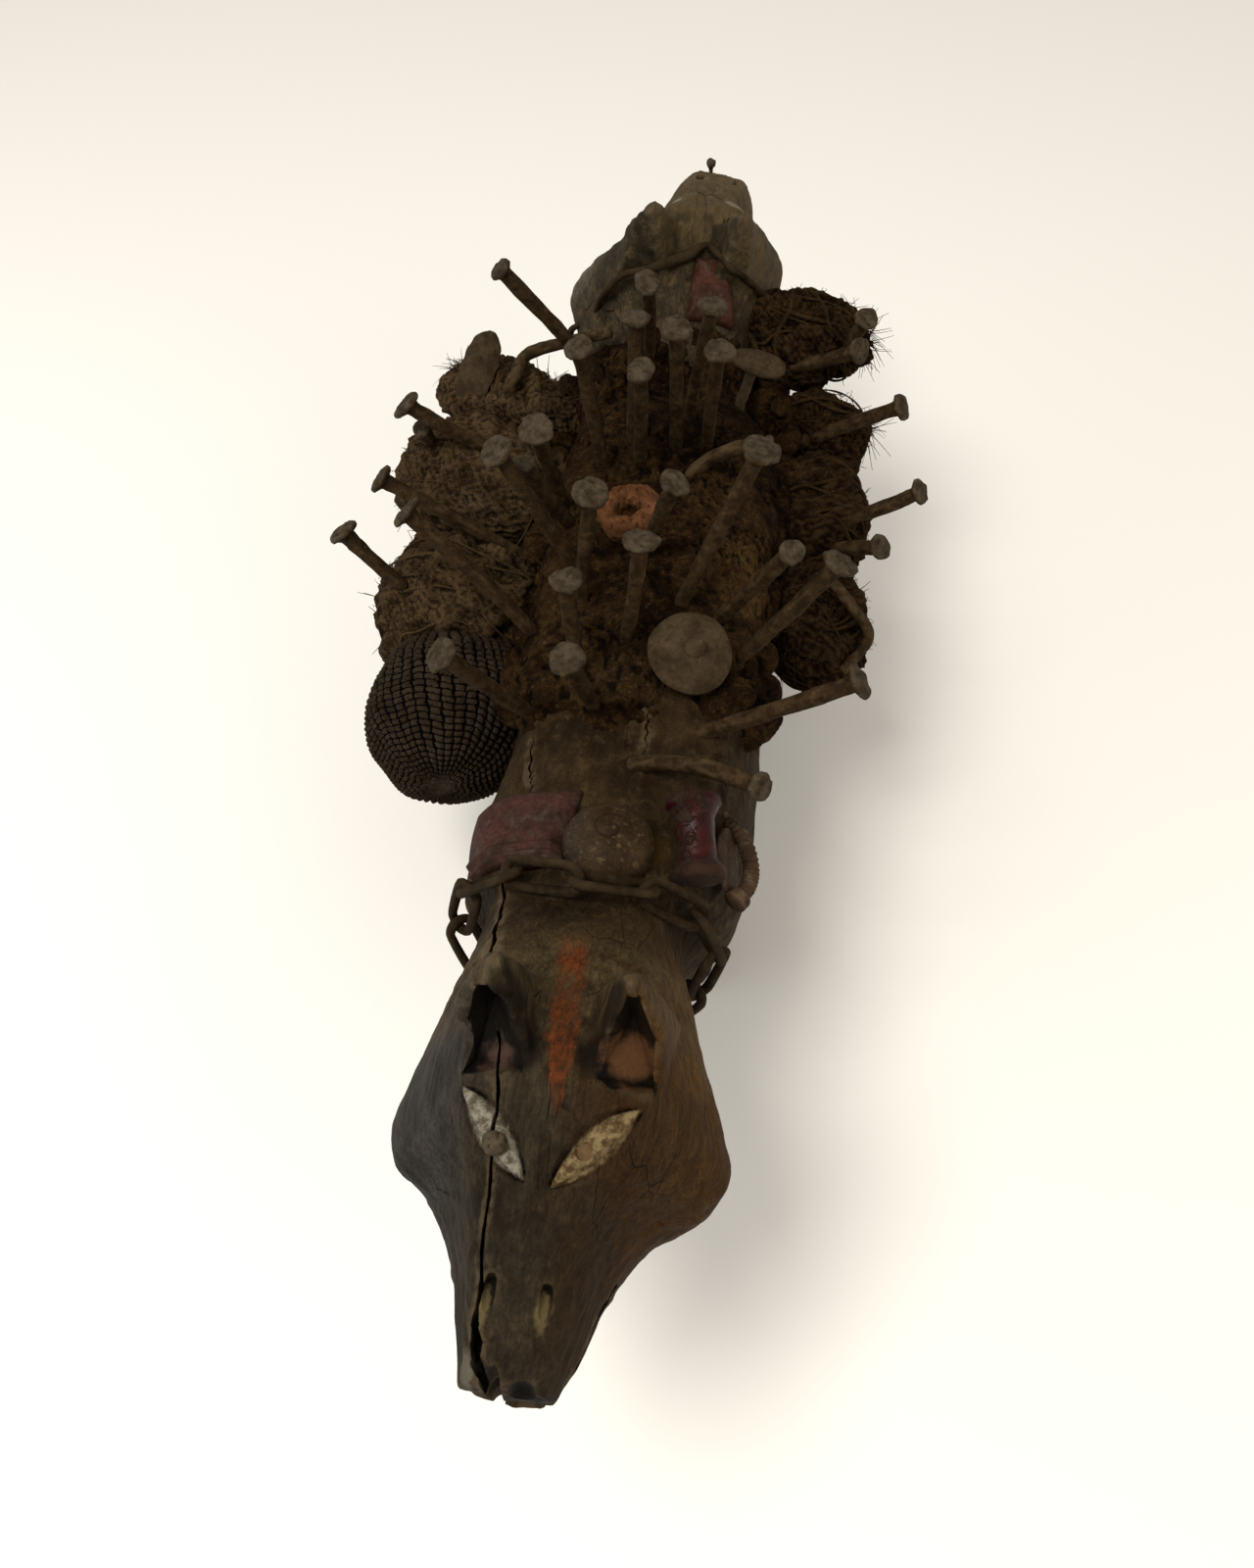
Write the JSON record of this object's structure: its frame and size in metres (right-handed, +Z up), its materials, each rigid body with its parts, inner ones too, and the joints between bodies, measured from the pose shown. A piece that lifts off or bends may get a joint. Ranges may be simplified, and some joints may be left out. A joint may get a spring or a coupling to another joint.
{
  "type": "double-headed dog nkisi nkondi figure (kozo)",
  "caption": "Carved wooden double-headed dog power figure on short legs, its back driven full of forged iron nails, with medicine bundles, an earth pack and a chain.",
  "frame": {"origin": "on the ground under the middle of the whole figure's outline", "axes": "+Z up; the near head, the one at the bottom of the picture, looks along -Y and the far head along +Y; +X is on the right of the picture"},
  "size_m": [0.3034, 0.727, 0.295],
  "materials": {
    "wood": "dark worn patina, dusty",
    "earth": "dry crumbly earth and resin",
    "clay": "dry orange-brown clay",
    "raffia": "dusty frayed fibre",
    "red_leather": "worn red",
    "brown_leather": "worn brown",
    "lacquer": "glossy dark red",
    "shell": "smoked shell",
    "iron": "rusted forged iron"
  },
  "bodies": {
    "root": {"dog_figure": "wood", "earth_pack": "earth", "clay_cup": "clay", "boss_disc": "iron", "boss_pin": "iron", "neck_pad": "red_leather", "shell_dome": "shell", "red_spool": "lacquer", "side_flap": "brown_leather", "leather_loop": "brown_leather", "neck_chain": "iron", "far_collar": "iron", "far_pad": "red_leather", "woven_bag": "raffia", "left_mid_bundle": "raffia", "left_upper_bundle": "raffia", "left_top_bundle": "raffia", "right_low_bundle": "raffia", "right_mid_bundle": "raffia", "right_upper_bundle": "raffia", "right_top_bundle": "raffia", "side_hook": "iron", "bent_bar": "iron", "blade_left": "iron", "blade_right": "iron", "eye_nail": "iron", "snout_nail": "iron", "nail_01": "iron", "nail_02": "iron", "nail_03": "iron", "nail_04": "iron", "nail_05": "iron", "nail_06": "iron", "nail_07": "iron", "nail_08": "iron", "nail_09": "iron", "nail_10": "iron", "nail_11": "iron", "nail_12": "iron", "nail_13": "iron", "nail_14": "iron", "nail_15": "iron", "nail_16": "iron", "nail_17": "iron", "nail_18": "iron", "nail_19": "iron", "nail_20": "iron", "nail_21": "iron", "nail_22": "iron", "nail_23": "iron", "nail_24": "iron", "nail_25": "iron", "nail_26": "iron", "nail_27": "iron", "nail_28": "iron", "nail_29": "iron", "nail_30": "iron", "nail_31": "iron", "nail_32": "iron", "nail_33": "iron"}
  },
  "joints": []
}
